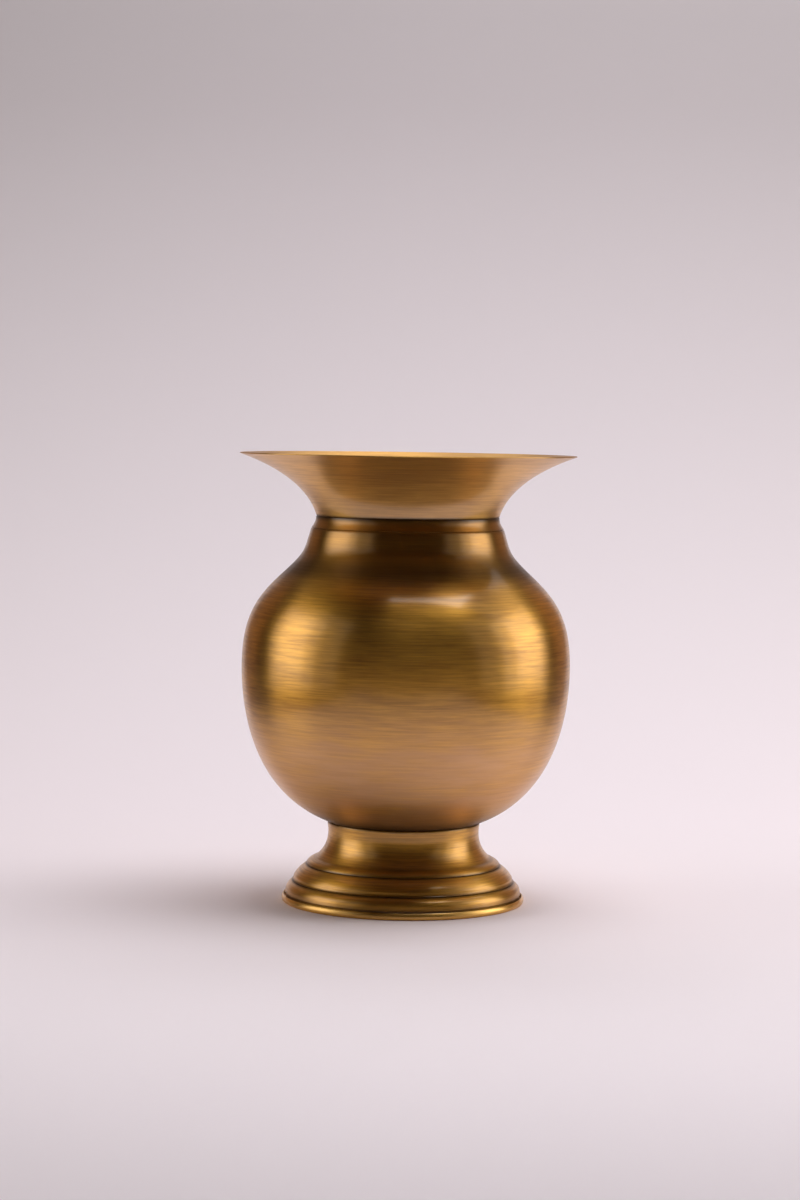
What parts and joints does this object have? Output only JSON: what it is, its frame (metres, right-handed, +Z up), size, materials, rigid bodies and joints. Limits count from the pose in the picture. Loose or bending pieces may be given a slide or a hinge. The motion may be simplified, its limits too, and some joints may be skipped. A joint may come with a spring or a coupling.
{
  "type": "kalash pot",
  "caption": "Round-bellied brass vessel with a wide trumpet collar, standing on a hollow turned pedestal foot, for holding water or flowers.",
  "frame": {"origin": "centre of the ring-shaped face that the pot rests on, at the bottom of the base dish", "axes": "+Z up along the axis of revolution, towards the mouth; X and Y are free, because the pot is round"},
  "size_m": [0.1904, 0.1904, 0.254],
  "materials": {
    "collar_brass": "light satin antique brass, brushed round the axis",
    "ring_brass": "dark antique brass, satin",
    "body_brass": "antique brass with brown patina, satin, brushed round the axis",
    "foot_brass": "antique brass, satin, dark patina in the grooves",
    "dish_brass": "antique brass, rubbed bright on the lip",
    "boss_brass": "plain turned brass",
    "braze": "as-flowed brazing metal",
    "plated_steel": "zinc-plated steel"
  },
  "bodies": {
    "root": {"flared_collar": "collar_brass", "neck_ring": "ring_brass", "neck_braze": "braze", "shoulder_shell": "body_brass", "belly_braze": "braze", "bowl_shell": "body_brass", "bowl_boss": "boss_brass", "boss_braze": "braze", "tie_rod": "plated_steel", "pedestal_foot": "foot_brass", "base_dish": "dish_brass", "rod_washer": "plated_steel", "rod_nut": "plated_steel"}
  },
  "joints": []
}
